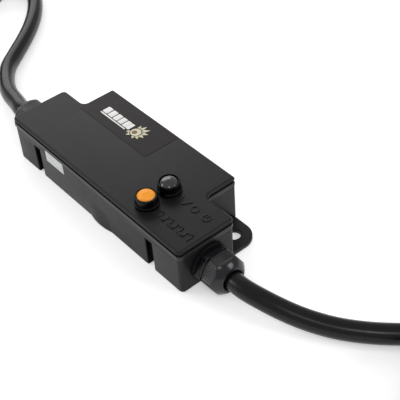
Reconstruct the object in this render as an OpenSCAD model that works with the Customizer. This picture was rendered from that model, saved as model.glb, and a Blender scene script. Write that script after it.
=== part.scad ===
// In-line two-button control station: a flat splash-proof box with a sealed
// push-button pair on the lid and a jacketed cable leaving through a gland at each end.
// Origin: centre of the footprint, on the underside. +X runs along the box to the
// button end, +Y to the wide side, +Z up through the lid. Millimetres.

/* [Case] */
// overall length over the rim
body_length = 160; // [156:0.5:164]
// width of the two narrow ends
narrow_width = 39; // [38:0.5:40]
// width of the middle, over the wing
wide_width = 61.5; // [60:0.5:63]
// height over the lid
case_height = 31; // [31:0.1:32]
// distance from the left end to the wing
wing_from = 21; // [20:0.5:22]
// distance from the left end to the far end of the wing
wing_to = 136; // [135:0.5:137]
// thickness of the side walls
wall = 2.5; // [2.2:0.1:2.8]
// thickness of the bottom
floor_thickness = 2.5; // [2.3:0.1:2.6]
// radius of the upright corners
corner_radius = 3; // [2.5:0.1:4]
// radius of the wing's outer corners
wing_radius = 1.5; // [1:0.1:2]
// radius in the corner between the wing and the narrow end
notch_radius = 4; // [3:0.1:5]

/* [Lid and seal] */
// thickness of the lid plate
lid_thickness = 2; // [1.8:0.1:2.2]
// thickness of the gasket once it is squeezed
gasket_thickness = 1.5; // [1.2:0.1:1.6]
// height of the rim band under the gasket
band_height = 2.4; // [2:0.1:2.8]
// height of the raised marks on the lid
mark_height = 0.4; // [0.3:0.05:0.6]

/* [Buttons] */
// distance of the buttons from the middle of the box
button_x = 38.5; // [34:0.5:38.5]
// diameter of a button's cap
cap_diameter = 10.8; // [10:0.1:10.8]
// height of the bezel over the lid
bezel_height = 6.8; // [6:0.1:7.4]
// distance that a button goes down
button_travel = 1.5; // [1:0.1:1.6]

/* [Glands and cables] */
// height of the cable above the underside
gland_z = 12.2; // [12.2:0.1:12.4]
// size across the flats of the gland
gland_flats = 22; // [21:0.5:22]
// outer diameter of the cable
cable_diameter = 11.5; // [11:0.1:11.6]

/* [Mounting ears] */
// thickness of the ears
ear_thickness = 3; // [2.5:0.1:4]
// diameter of the fixing holes
ear_hole = 8; // [6:0.5:9]

/* [Hidden] */
$fn = 96;
skin = 0.3;
x_min = -body_length / 2;
y_min = -wide_width / 2;
y_max = wide_width / 2;
bar_far = y_min + narrow_width;
wing_x0 = x_min + wing_from;
wing_x1 = x_min + wing_to;
lid_under = case_height - lid_thickness;
rim_top = lid_under - gasket_thickness;
band_foot = rim_top - band_height;
inner = skin + wall;

// Screws that hold the lid, driven from below through open channels.
screw_inset = 5.8;
channel_r = 3;
channel_top = 21;
post_top = 24;
casing_r = 5;
lid_boss_r = 2.8;
screw_r = 1.5;
NEAR_SCREWS = [-56, 52.8];
FAR_SCREWS = [-41, 38];
near_y = y_min + screw_inset;
far_y = y_max - screw_inset;

// Circuit board.
board = [95, 40.5, 1.6];
board_at = [-49, -20.75, 6.5];
board_top = board_at[2] + board[2];
BOARD_SCREWS = [[-45, -16], [-45, 16], [28, 16], [28, -16]];

// Push-buttons.
amber_y = -18.75;
black_y = -2.75;
bezel_top = case_height + bezel_height;
seal_t = 0.5;
bush_r = 6;
cap_r = cap_diameter / 2;
cap_foot = 34;
stem_r = 1.8;
stem_foot = 21.9;
chamber_floor = 17;
body_foot = 15;
web_foot = 23.5;
web_top = 25;
pad_top = stem_foot - 1.6 - 0.1;
tab_foot = 10.5;

// Glands, drawn for the right-hand end and mirrored for the left.
gland_y = -11.25;
end_face = body_length / 2 - skin;
inside_face = end_face - wall;
washer_t = 2;
hex_from = end_face + washer_t;
hex_to = 87;
nut_from = 87.4;
mouth = 99.6;
jacket_to = 101;
dome_at = 88.5;
dome_r = 13.6;
thread_r = 9.3;
cable_r = cable_diameter / 2;
jacket_from = 66;
ROUTE_RIGHT = [
    [101, -11.25, 12.2], [105, -11.25, 12.2], [110, -10.7, 12], [118, -8.8, 11.3],
    [128, -5.3, 9.6], [138, -0.8, 7.7], [147.5, 4.3, 6.4], [157, 10.2, 5.8],
    [168.5, 19, 5.75], [179.5, 29.5, 5.75], [190, 41, 5.75], [200, 53.5, 5.75],
    [209, 64, 5.75], [217.6, 74.4, 5.75]];
ROUTE_LEFT = [
    [-101, -11.25, 12.2], [-105, -11.25, 12.2], [-114, -9.2, 11], [-131, -5.5, 9],
    [-146.5, 1.5, 7], [-160.5, 11.5, 5.8], [-171.5, 25, 5.75], [-182, 38.5, 5.75],
    [-193.5, 51.5, 5.75], [-206.5, 63.5, 5.75], [-221.5, 73.8, 5.75], [-238.5, 81.5, 5.75],
    [-257, 87, 5.75], [-277.5, 91, 5.75], [-301, 95.3, 5.75]];
TAIL_RIGHT = [
    [217.6, 74.4, 17.2], [229.4, 85.2, 18.1], [243.6, 92.6, 20.2], [259.2, 96, 23],
    [275.1, 95.3, 25.8], [290.4, 90.5, 27.9], [303.9, 81.9, 28.8], [314.7, 70.1, 28.8],
    [322.1, 55.9, 28.8], [325.5, 40.3, 28.8], [324.8, 24.4, 28.8], [320, 9.1, 28.8],
    [311.4, -4.4, 28.8], [303.9, -11.9, 28.8], [293.7, -18.4, 29.1], [282.3, -22, 29.9],
    [270.3, -22.5, 30.9], [258.6, -19.9, 31.9], [247.9, -14.4, 32.7], [239.1, -6.3, 33],
    [232.7, 1.4, 33]];
TAIL_LEFT = [
    [-272.1, 81.9, 17.2], [-285.6, 90.5, 18.1], [-300.9, 95.3, 20.2], [-316.8, 96, 23],
    [-332.4, 92.6, 25.8], [-346.6, 85.2, 27.9], [-358.4, 74.4, 28.8], [-367, 60.9, 28.8],
    [-371.8, 45.6, 28.8], [-372.5, 29.7, 28.8], [-369.1, 14.1, 28.8], [-367, 9.1, 28.8],
    [-360.6, -1, 29.1], [-351.7, -9.1, 29.9], [-341.1, -14.7, 30.9], [-329.3, -17.3, 31.9],
    [-317.3, -16.7, 32.7], [-305.9, -13.1, 33], [-296.8, -8.9, 33]];
RIGHT_COIL = [264.5, 35];
LEFT_COIL = [-311.5, 35];
coil_inner = 44;
coil_outer = 67;
coil_height = 23;
tie_angle_right = 241;
tie_angle_left = 20;
plug_right_at = [239.1, -6.3, 33];
plug_right_turn = 130;
plug_left_at = [-305.9, -13.1, 33];
plug_left_turn = 25;

// Wires inside the box.
wire_r = 1.1;
thin_r = 0.6;
LEADS_RIGHT = [
    [[66, -13.6, 12.2], [60, -13.2, 12.5], [54, -8, 13.5], [50, 0, 13], [47.5, 6.5, 12.3], [45, 7.5, 12]],
    [[66, -11.2, 14.4], [60, -9.5, 15.5], [55.5, -2, 16], [51.5, 6, 14.5], [48.5, 11, 12.8], [45, 12, 12]],
    [[66, -8.9, 12.2], [61, -6.5, 12.5], [56, -1.5, 12.5], [51.2, 5.5, 12.5], [49, 13, 12.2], [45, 16.5, 12]]];
LEADS_LEFT = [
    [[-66, -13.6, 12.2], [-60, -13, 12.2], [-54, -11, 12], [-48, -9, 12]],
    [[-66, -11.2, 14.4], [-60, -9.5, 14.4], [-54, -6, 13], [-48, -4.5, 12]],
    [[-66, -8.9, 12.2], [-60, -6, 12.4], [-54, -1.5, 12.2], [-48, 0, 12]]];
LEADS_SWITCH = [
    [[38.2, -21.25, 11.6], [28, -20.8, 12.2], [20, -17.2, 12], [14.5, -14.5, 10.5]],
    [[38.2, -16.25, 11.6], [28, -15.8, 12.2], [20, -13.2, 12], [14.5, -11.5, 10.5]],
    [[38.2, -5.25, 11.6], [28, -5.6, 12.2], [20, -7.4, 12], [14.5, -8.5, 10.5]],
    [[38.2, -0.25, 11.6], [28, -0.8, 12.2], [20, -3.6, 12], [14.5, -5.5, 10.5]]];

// ---- Swept tube along a route --------------------------------------------------

function unit(v) = v / norm(v);
function heading(p, i) = unit(p[min(i + 1, len(p) - 1)] - p[max(i - 1, 0)]);
function ring_at(p, t, r, n) =
    let (s = unit(cross(t, [0, 0, 1])), u = cross(s, t))
    [for (k = [0 : n - 1]) p + r * (cos(360 * k / n) * s + sin(360 * k / n) * u)];

module swept_tube(route, r, n) {
    count = len(route);
    points = [for (i = [0 : count - 1]) each ring_at(route[i], heading(route, i), r, n)];
    first = [for (k = [0 : n - 1]) n - 1 - k];
    last = [for (k = [0 : n - 1]) (count - 1) * n + k];
    lower = [for (i = [0 : count - 2], k = [0 : n - 1])
        [i * n + k, i * n + (k + 1) % n, (i + 1) * n + (k + 1) % n]];
    upper = [for (i = [0 : count - 2], k = [0 : n - 1])
        [i * n + k, (i + 1) * n + (k + 1) % n, (i + 1) * n + k]];
    polyhedron(points = points, faces = concat([first, last], lower, upper));
}

// ---- Outline of the box ---------------------------------------------------------

module rounded(x_a, y_a, x_b, y_b, r) {
    translate([x_a + r, y_a]) square([x_b - x_a - 2 * r, y_b - y_a]);
    translate([x_a, y_a + r]) square([x_b - x_a, y_b - y_a - 2 * r]);
    for (x = [x_a + r, x_b - r], y = [y_a + r, y_b - r])
        translate([x, y]) circle(r);
}

module notch_fill(x, y, r, side) {
    difference() {
        translate([side > 0 ? x - 0.5 : x - r, y - 0.5]) square([r + 0.5, r + 0.5]);
        translate([x + side * r, y + r]) circle(r);
    }
}

// The T-shaped outline, drawn in by `i` from the rim.
module outline(i) {
    rounded(x_min + i, y_min + i, -x_min - i, bar_far - i, max(corner_radius - i, 0.8));
    rounded(wing_x0 + i, y_min + i + 4, wing_x1 - i, y_max - i, max(wing_radius - i, 0.6));
    notch_fill(wing_x0 + i, bar_far - i, notch_radius + i, -1);
    notch_fill(wing_x1 - i, bar_far - i, notch_radius + i, 1);
}

module slab(i, from, to) {
    translate([0, 0, from]) linear_extrude(to - from) outline(i);
}

module rod(x, y, from, to, r) {
    translate([x, y, from]) cylinder(h = to - from, r = r);
}

// ---- Case -------------------------------------------------------------------------

module casing(x, y, wall_y, side) {
    rod(x, y, 0, post_top, casing_r);
    translate([x - casing_r, side > 0 ? y : wall_y, 0])
        cube([2 * casing_r, abs(wall_y - y), post_top]);
}

module channel(x, y, wall_y, side) {
    rod(x, y, -1, channel_top, channel_r);
    translate([x - channel_r, side > 0 ? y : wall_y - 1, -1])
        cube([2 * channel_r, abs(wall_y - y) + 1, channel_top + 1]);
    rod(x, y, channel_top - 0.5, post_top + 1, screw_r + 0.15);
}

module ear(hole_x, wall_x, side) {
    r = 10.5;
    x_a = side > 0 ? wall_x - 1.5 : hole_x;
    x_b = side > 0 ? hole_x : wall_x + 1.5;
    translate([x_a, bar_far - 1.5]) square([x_b - x_a, 17.85 + r - bar_far + 1.5]);
    x_c = side > 0 ? wall_x - 1.5 : hole_x - r;
    x_d = side > 0 ? hole_x + r : wall_x + 1.5;
    translate([x_c, bar_far - 1.5]) square([x_d - x_c, 17.85 - bar_far + 1.5]);
    translate([hole_x, 17.85]) circle(r);
}

module swelling() {
    r = 34;
    intersection() {
        translate([6, y_min + skin - 1.5 + r, 0]) cylinder(h = 12, r1 = r, r2 = r - 1.6);
        translate([-8, y_min - 3, 0]) cube([28, 4.5, 12]);
    }
}

module case_base() {
    color([0.11, 0.11, 0.12])
    difference() {
        union() {
            difference() {
                union() {
                    slab(skin, 0, band_foot);
                    slab(0, band_foot, rim_top);
                    swelling();
                }
                slab(inner, floor_thickness, rim_top + 1);
            }
            for (x = NEAR_SCREWS) casing(x, near_y, y_min + skin + 0.5, -1);
            for (x = FAR_SCREWS) casing(x, far_y, y_max - skin - 0.5, 1);
            for (p = BOARD_SCREWS) rod(p[0], p[1], floor_thickness - 0.5, board_at[2], 3);
            linear_extrude(ear_thickness) ear(67.5, wing_x1 - skin, 1);
            linear_extrude(ear_thickness) ear(-68.5, wing_x0 + skin, -1);
        }
        for (x = NEAR_SCREWS) channel(x, near_y, y_min, -1);
        for (x = FAR_SCREWS) channel(x, far_y, y_max, 1);
        for (p = BOARD_SCREWS) rod(p[0], p[1], 3.4, board_at[2] + 1, 1.2);
        for (x = [67.5, -68.5]) rod(x, 17.85, -1, ear_thickness + 1, ear_hole / 2);
        for (s = [-1, 1]) {
            translate([s * (body_length / 2 - 2), gland_y, gland_z])
                rotate([0, 90, 0]) cylinder(h = 8, r = thread_r + 0.1, center = true);
            translate([s * (inside_face - 3.9) - 3.9, gland_y - 13, 1.4])
                cube([7.8, 26, floor_thickness]);
        }
    }
}

module bar_mark(x, y, w, h, turn) {
    translate([x, y]) rotate(turn) square([w, h], center = true);
}

// Bar, slash and ring beside the black button; the flash pattern beside the amber one.
module marks() {
    y = black_y;
    bar_mark(48, y, 1.1, 5.5, 0);
    bar_mark(53.5, y, 1, 6.2, -28);
    translate([60, y]) difference() {
        circle(2.75);
        circle(1.75);
    }
    translate([69.5, y]) {
        difference() {
            circle(2.75);
            circle(1.75);
            translate([0, 2]) square([2.4, 3], center = true);
        }
        translate([0, 1.55]) square([1, 2.9], center = true);
    }
    h = 5;
    pitch = 8;
    for (i = [0 : 3]) {
        x = 47 + i * pitch;
        bar_mark(x, amber_y, 1, h, 0);
        bar_mark(x + pitch / 2, amber_y, 1, h, 0);
        bar_mark(x + pitch / 4, amber_y + h / 2 - 0.5, pitch / 2, 1, 0);
        if (i < 3) bar_mark(x + pitch * 0.75, amber_y - h / 2 + 0.5, pitch / 2, 1, 0);
    }
}

module lid() {
    color([0.14, 0.14, 0.15])
    difference() {
        union() {
            slab(0, lid_under, case_height);
            difference() {
                slab(inner + 0.2, rim_top - 1, lid_under + 0.5);
                slab(inner + 1.6, rim_top - 2, lid_under);
            }
            for (x = NEAR_SCREWS) rod(x, near_y, post_top, lid_under + 0.5, lid_boss_r);
            for (x = FAR_SCREWS) rod(x, far_y, post_top, lid_under + 0.5, lid_boss_r);
            translate([0, 0, case_height - 0.5]) linear_extrude(mark_height + 0.5) marks();
        }
        for (x = NEAR_SCREWS) rod(x, near_y, post_top - 1, lid_under + 0.6, screw_r + 0.02);
        for (x = FAR_SCREWS) rod(x, far_y, post_top - 1, lid_under + 0.6, screw_r + 0.02);
        for (y = [amber_y, black_y])
            rod(button_x, y, lid_under - 1, case_height + 1, bush_r + 0.1);
    }
}

module lid_gasket() {
    color([0.02, 0.02, 0.02])
    difference() {
        slab(1, rim_top, lid_under);
        slab(inner - 0.2, rim_top - 1, lid_under + 1);
    }
}

module pan_screw(x, y, seat, length, r, head_r, head_h, up) {
    translate([x, y, seat]) mirror([0, 0, up > 0 ? 0 : 1]) difference() {
        union() {
            translate([0, 0, -head_h]) cylinder(h = head_h, r = head_r);
            translate([0, 0, -0.2]) cylinder(h = length + 0.2, r = r);
        }
        translate([0, 0, -head_h - 0.1]) {
            translate([-head_r * 0.6, -0.4, 0]) cube([head_r * 1.2, 0.8, 1.1]);
            translate([-0.4, -head_r * 0.6, 0]) cube([0.8, head_r * 1.2, 1.1]);
        }
    }
}

module lid_screws() {
    color([0.6, 0.6, 0.62]) {
        for (x = NEAR_SCREWS) pan_screw(x, near_y, channel_top, 8, screw_r, 2.75, 2, 1);
        for (x = FAR_SCREWS) pan_screw(x, far_y, channel_top, 8, screw_r, 2.75, 2, 1);
    }
}

// ---- Circuit board ------------------------------------------------------------------

module pcb() {
    color([0.05, 0.25, 0.12])
    difference() {
        translate(board_at) cube(board);
        for (p = BOARD_SCREWS) rod(p[0], p[1], 5, 9, 1.6);
    }
}

module pcb_screws() {
    color([0.7, 0.7, 0.72])
    for (p = BOARD_SCREWS) pan_screw(p[0], p[1], board_top, 4.5, 1.2, 2.3, 1.7, -1);
}

module microcontroller() {
    color([0.05, 0.05, 0.05]) {
        translate([-12, -13, board_top + 0.3]) cube([13, 7.5, 2.4]);
        for (i = [0 : 7], s = [0, 1])
            translate([-11.2 + i * 1.6, s * 8.7 - 14.2, board_top]) cube([0.5, 1.3, 1.2]);
    }
}

module mosfets() {
    color([0.08, 0.08, 0.09])
    for (x = [-22, -8, 6]) {
        translate([x - 5, 10, board_top + 3]) cube([10, 4.5, 9]);
        translate([x - 5, 13.2, board_top + 11.5]) difference() {
            cube([10, 1.3, 6.5]);
            translate([5, 2, 3.4]) rotate([90, 0, 0]) cylinder(h = 3, r = 1.8);
        }
        for (d = [-2.54, 0, 2.54])
            translate([x + d - 0.4, 12, board_top]) cube([0.8, 0.5, 3.5]);
    }
}

module capacitors() {
    color([0.1, 0.1, 0.25])
    for (x = [-33, -23.5]) difference() {
        rod(x, -6, board_top, board_top + 12, 4);
        rod(x, -6, board_top + 11.7, board_top + 13, 3.2);
    }
}

module terminal_block(x, y, side) {
    color([0.1, 0.35, 0.2])
    difference() {
        translate([x, y, board_top]) cube([9, 14.5, 9.5]);
        for (i = [0 : 2]) {
            translate([x + (side > 0 ? 5 : -1), y + 2.75 + i * 4.5, board_top + 3.9])
                rotate([0, 90, 0]) cylinder(h = 5, r = 1.6);
            rod(x + 4.5, y + 2.75 + i * 4.5, board_top + 7, board_top + 10, 1.7);
        }
    }
}

module switch_header() {
    color([0.85, 0.84, 0.8])
    translate([10.5, -16.2, board_top]) cube([4, 12.5, 4]);
}

// ---- Push-button ----------------------------------------------------------------------

module switch_body(y) {
    color([0.02, 0.02, 0.02])
    translate([button_x, y, 0])
    difference() {
        rotate_extrude() polygon([
            [0, body_foot], [6.2, body_foot], [6.2, 22], [bush_r, 22.2],
            [bush_r, case_height + seal_t], [7, case_height + seal_t], [7, case_height + 1.6],
            [6.6, case_height + 2.2], [6.25, bezel_top - 0.6], [5.95, bezel_top],
            [0, bezel_top]]);
        translate([0, 0, case_height + 1]) cylinder(h = bezel_height, r = cap_r + 0.1);
        translate([0, 0, web_top]) cylinder(h = 12, r = 4);
        translate([0, 0, web_foot - 1]) cylinder(h = 4, r = stem_r + 0.1);
        translate([0, 0, chamber_floor]) cylinder(h = web_foot - chamber_floor, r = 4.6);
        for (s = [-1, 1])
            translate([-0.32, s * 2.5 - 1.07, body_foot - 1]) cube([0.64, 2.14, 4]);
    }
}

module cap_solid(y, dome) {
    top = bezel_top + dome;
    sphere_r = (pow(cap_r, 2) + pow(dome + 0.9, 2)) / (2 * (dome + 0.9));
    translate([button_x, y, 0]) {
        difference() {
            intersection() {
                translate([0, 0, cap_foot]) cylinder(h = top - cap_foot, r = cap_r);
                translate([0, 0, top - sphere_r]) sphere(r = sphere_r, $fn = 160);
            }
            translate([0, 0, cap_foot - 1]) difference() {
                cylinder(h = 2.2, r = 4.2);
                cylinder(h = 2.2, r = stem_r);
            }
        }
        translate([0, 0, stem_foot + 1]) cylinder(h = cap_foot + 2 - stem_foot, r = stem_r);
    }
}

module amber_cap() {
    color([0.95, 0.5, 0.06]) cap_solid(amber_y, 2.2);
}

module black_cap() {
    color([0.03, 0.03, 0.03]) cap_solid(black_y, 1.3);
}

module contact_bridge(y) {
    color([0.8, 0.6, 0.3])
    translate([button_x, y, stem_foot]) cylinder(h = 1, r = 4);
}

function coil_path(y, z_a, z_b, turns, r) =
    [for (i = [0 : turns * 12]) [
        button_x + r * cos(i * 30), y + r * sin(i * 30),
        z_a + (z_b - z_a) * i / (turns * 12)]];

module return_spring(y) {
    color([0.75, 0.75, 0.78])
    swept_tube(coil_path(y, web_top + 0.3, cap_foot + 1.2 - 0.3, 7, 3.1), 0.25, 8);
}

module panel_nut(y) {
    color([0.55, 0.55, 0.57])
    translate([button_x, y, lid_under - 3]) difference() {
        rotate(0) cylinder(h = 3, r = 7 / cos(30), $fn = 6);
        translate([0, 0, -1]) cylinder(h = 5, r = bush_r + 0.05);
    }
}

module seal_washer(y) {
    color([0.02, 0.02, 0.02])
    translate([button_x, y, case_height]) difference() {
        cylinder(h = seal_t, r = 6.85);
        translate([0, 0, -1]) cylinder(h = 3, r = bush_r + 0.1);
    }
}

module switch_terminals(y) {
    color([0.8, 0.78, 0.6])
    for (s = [-1, 1]) translate([button_x, y + s * 2.5, 0]) {
        translate([-0.27, -1, tab_foot]) cube([0.54, 2, chamber_floor - tab_foot + 0.5]);
        rod(0, 0, chamber_floor, pad_top, 1.2);
    }
}

// ---- Glands -----------------------------------------------------------------------------

module at_end(side) {
    mirror([side > 0 ? 0 : 1, 0, 0])
        translate([0, gland_y, gland_z]) rotate([0, 90, 0]) rotate([0, 0, 90]) children();
}

module collar(from, to, r) {
    translate([0, 0, from]) cylinder(h = to - from, r = r);
}

// Across-flats prism with a flat on top.
module hexagon(from, to, flats) {
    translate([0, 0, from]) rotate(0)
        cylinder(h = to - from, r = flats / 2 / cos(30), $fn = 6);
}

module gland_washer(side) {
    color([0.02, 0.02, 0.02])
    at_end(side) difference() {
        collar(end_face, hex_from, 12.1);
        collar(end_face - 1, hex_from + 1, thread_r + 0.05);
    }
}

module gland_body(side) {
    color([0.12, 0.12, 0.13])
    at_end(side) difference() {
        union() {
            collar(70, 95, thread_r);
            hexagon(hex_from, hex_to, gland_flats);
        }
        collar(69, 96, cable_r + 0.25);
        collar(88, 96, 7.6);
    }
}

module lock_nut(side) {
    color([0.12, 0.12, 0.13])
    at_end(side) difference() {
        hexagon(inside_face - 4.5, inside_face, 21);
        collar(inside_face - 6, inside_face + 1, thread_r + 0.05);
    }
}

module seal_insert(side) {
    color([0.03, 0.03, 0.03])
    at_end(side) difference() {
        collar(88, 97.8, 7.5);
        collar(87, 99, cable_r + 0.05);
    }
}

module dome_nut(side) {
    color([0.12, 0.12, 0.13])
    at_end(side) difference() {
        intersection() {
            hexagon(nut_from, mouth, gland_flats);
            translate([0, 0, dome_at]) sphere(r = dome_r, $fn = 160);
        }
        collar(nut_from - 1, 95.4, thread_r + 0.05);
        collar(95, 97.8, 7.55);
        collar(97, mouth + 1, 6.6);
    }
}

module jacket_end(side) {
    color([0.06, 0.06, 0.06])
    at_end(side) collar(jacket_from, jacket_to, cable_r);
}

// ---- Wires, labels ------------------------------------------------------------------------

module right_leads() {
    color([0.6, 0.1, 0.08])
    for (p = LEADS_RIGHT) swept_tube(p, wire_r, 8);
}

module left_leads() {
    color([0.6, 0.1, 0.08])
    for (p = LEADS_LEFT) swept_tube(p, wire_r, 8);
}

module switch_leads() {
    color([0.7, 0.6, 0.1])
    for (p = LEADS_SWITCH) swept_tube(p, thin_r, 8);
}

module decal() {
    color([0.07, 0.06, 0.06])
    translate([0, 0, case_height]) linear_extrude(0.15)
        rounded(-58, 4.75, 7, 29.75, 1);
}

module side_label() {
    color([0.85, 0.85, 0.85])
    translate([-46, y_min + 0.15, 17]) cube([18, 0.15, 7.6]);
}

// ---- Cables -------------------------------------------------------------------------------

module cable(route) {
    color([0.07, 0.07, 0.07]) swept_tube(route, cable_r, 10);
}

module cable_coil(at) {
    color([0.07, 0.07, 0.07])
    translate([at[0], at[1], 0]) rotate_extrude()
        translate([coil_inner, 0]) square([coil_outer - coil_inner, coil_height]);
}

module cable_tie(at, turn) {
    t = 1.2;
    w = 5;
    color([0.85, 0.85, 0.82])
    translate([at[0], at[1], 0]) rotate(turn) {
        difference() {
            translate([coil_inner - t, -w / 2, 0])
                cube([coil_outer - coil_inner + 2 * t, w, coil_height + t]);
            translate([coil_inner, -w, t])
                cube([coil_outer - coil_inner, 2 * w, coil_height - t]);
        }
        translate([coil_outer - 10, -4, coil_height + t - 0.2]) cube([6, 8, 4.2]);
    }
}

module plug_shell(at, turn) {
    color([0.05, 0.05, 0.05])
    translate(at) rotate([0, 0, turn]) rotate([0, 90, 0]) difference() {
        union() {
            cylinder(h = 14, r = 7.2);
            translate([0, 0, 12]) cylinder(h = 24, r = 8.8);
            translate([0, 0, 35]) cylinder(h = 18, r = 10);
            translate([0, 0, 52]) cylinder(h = 8, r = 8.4);
        }
        translate([0, 0, -1]) cylinder(h = 16, r = cable_r + 0.05);
        translate([0, 0, 44]) cylinder(h = 17, r = 7.2);
    }
}

module plug_pins(at, turn) {
    color([0.8, 0.65, 0.3])
    translate(at) rotate([0, 0, turn]) rotate([0, 90, 0]) {
        translate([0, 0, 44]) cylinder(h = 4, r = 7);
        for (k = [0 : 3]) rotate(45 + 90 * k) translate([3.6, 0, 47.5]) cylinder(h = 9, r = 1);
    }
}

// ---- Nodes --------------------------------------------------------------------------------

case_base();
lid();
lid_gasket();
lid_screws();
pcb();
pcb_screws();
microcontroller();
mosfets();
capacitors();
terminal_block(-48, -11.75, -1);  // terminal_block_left
terminal_block(36, 4.75, 1);  // terminal_block_right
switch_header();
switch_body(amber_y);  // amber_switch_body
amber_cap();
contact_bridge(amber_y);  // amber_contact_bridge
return_spring(amber_y);  // amber_spring
panel_nut(amber_y);  // amber_panel_nut
seal_washer(amber_y);  // amber_seal_washer
switch_terminals(amber_y);  // amber_terminals
switch_body(black_y);  // black_switch_body
black_cap();
contact_bridge(black_y);  // black_contact_bridge
return_spring(black_y);  // black_spring
panel_nut(black_y);  // black_panel_nut
seal_washer(black_y);  // black_seal_washer
switch_terminals(black_y);  // black_terminals
gland_washer(-1);  // left_gland_washer
gland_body(-1);  // left_gland_body
lock_nut(-1);  // left_lock_nut
seal_insert(-1);  // left_seal_insert
dome_nut(-1);  // left_dome_nut
jacket_end(-1);  // left_jacket_end
gland_washer(1);  // right_gland_washer
gland_body(1);  // right_gland_body
lock_nut(1);  // right_lock_nut
seal_insert(1);  // right_seal_insert
dome_nut(1);  // right_dome_nut
jacket_end(1);  // right_jacket_end
left_leads();
right_leads();
switch_leads();
decal();
side_label();
cable(ROUTE_LEFT);  // left_cable
cable_coil(LEFT_COIL);  // left_cable_coil
cable(TAIL_LEFT);  // left_cable_tail
cable_tie(LEFT_COIL, tie_angle_left);  // left_cable_tie
plug_shell(plug_left_at, plug_left_turn);  // left_plug_shell
plug_pins(plug_left_at, plug_left_turn);  // left_plug_pins
cable(ROUTE_RIGHT);  // right_cable
cable_coil(RIGHT_COIL);  // right_cable_coil
cable(TAIL_RIGHT);  // right_cable_tail
cable_tie(RIGHT_COIL, tie_angle_right);  // right_cable_tie
plug_shell(plug_right_at, plug_right_turn);  // right_plug_shell
plug_pins(plug_right_at, plug_right_turn);  // right_plug_pins
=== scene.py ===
import math
import bpy
import bmesh
from mathutils import Matrix, Vector


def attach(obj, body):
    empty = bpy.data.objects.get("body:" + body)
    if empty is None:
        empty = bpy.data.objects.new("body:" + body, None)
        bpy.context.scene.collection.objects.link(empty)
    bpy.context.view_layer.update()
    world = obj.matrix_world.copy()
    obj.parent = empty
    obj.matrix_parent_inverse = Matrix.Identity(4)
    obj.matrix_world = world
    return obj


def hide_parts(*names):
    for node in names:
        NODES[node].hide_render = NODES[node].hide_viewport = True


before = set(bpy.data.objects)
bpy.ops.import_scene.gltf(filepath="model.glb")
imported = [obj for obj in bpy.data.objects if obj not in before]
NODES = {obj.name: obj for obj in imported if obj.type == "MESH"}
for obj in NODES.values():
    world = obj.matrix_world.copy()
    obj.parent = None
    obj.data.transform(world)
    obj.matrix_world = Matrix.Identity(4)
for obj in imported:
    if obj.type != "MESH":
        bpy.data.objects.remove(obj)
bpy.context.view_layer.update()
MM = 0.001
CASE = "case"
scene = bpy.context.scene

# ---- Camera -----------------------------------------------------------------

# Place and directions solved from the photograph's straight edges, in the part's frame.
CAM_AT = Vector((354.79, -226.77, 385.11)) * MM
CAM_RIGHT = Vector((0.649961, 0.758080, -0.053525)).normalized()
CAM_FORWARD = Vector((-0.576746, 0.446172, -0.684321)).normalized()
CAM_UP = CAM_RIGHT.cross(CAM_FORWARD).normalized()
LENS_MM, SENSOR_MM = 85.37, 36
NEAREST_M, FARTHEST_M = 0.01, 50
cam_data = bpy.data.cameras.new("camera")
cam_data.lens = LENS_MM
cam_data.sensor_width = SENSOR_MM
cam_data.clip_start = NEAREST_M
cam_data.clip_end = FARTHEST_M
cam = bpy.data.objects.new("camera", cam_data)
scene.collection.objects.link(cam)
turn = Matrix((CAM_RIGHT, CAM_UP, -CAM_FORWARD)).transposed().to_4x4()
cam.matrix_world = Matrix.Translation(CAM_AT) @ turn
scene.camera = cam

# ---- Materials --------------------------------------------------------------


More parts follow.
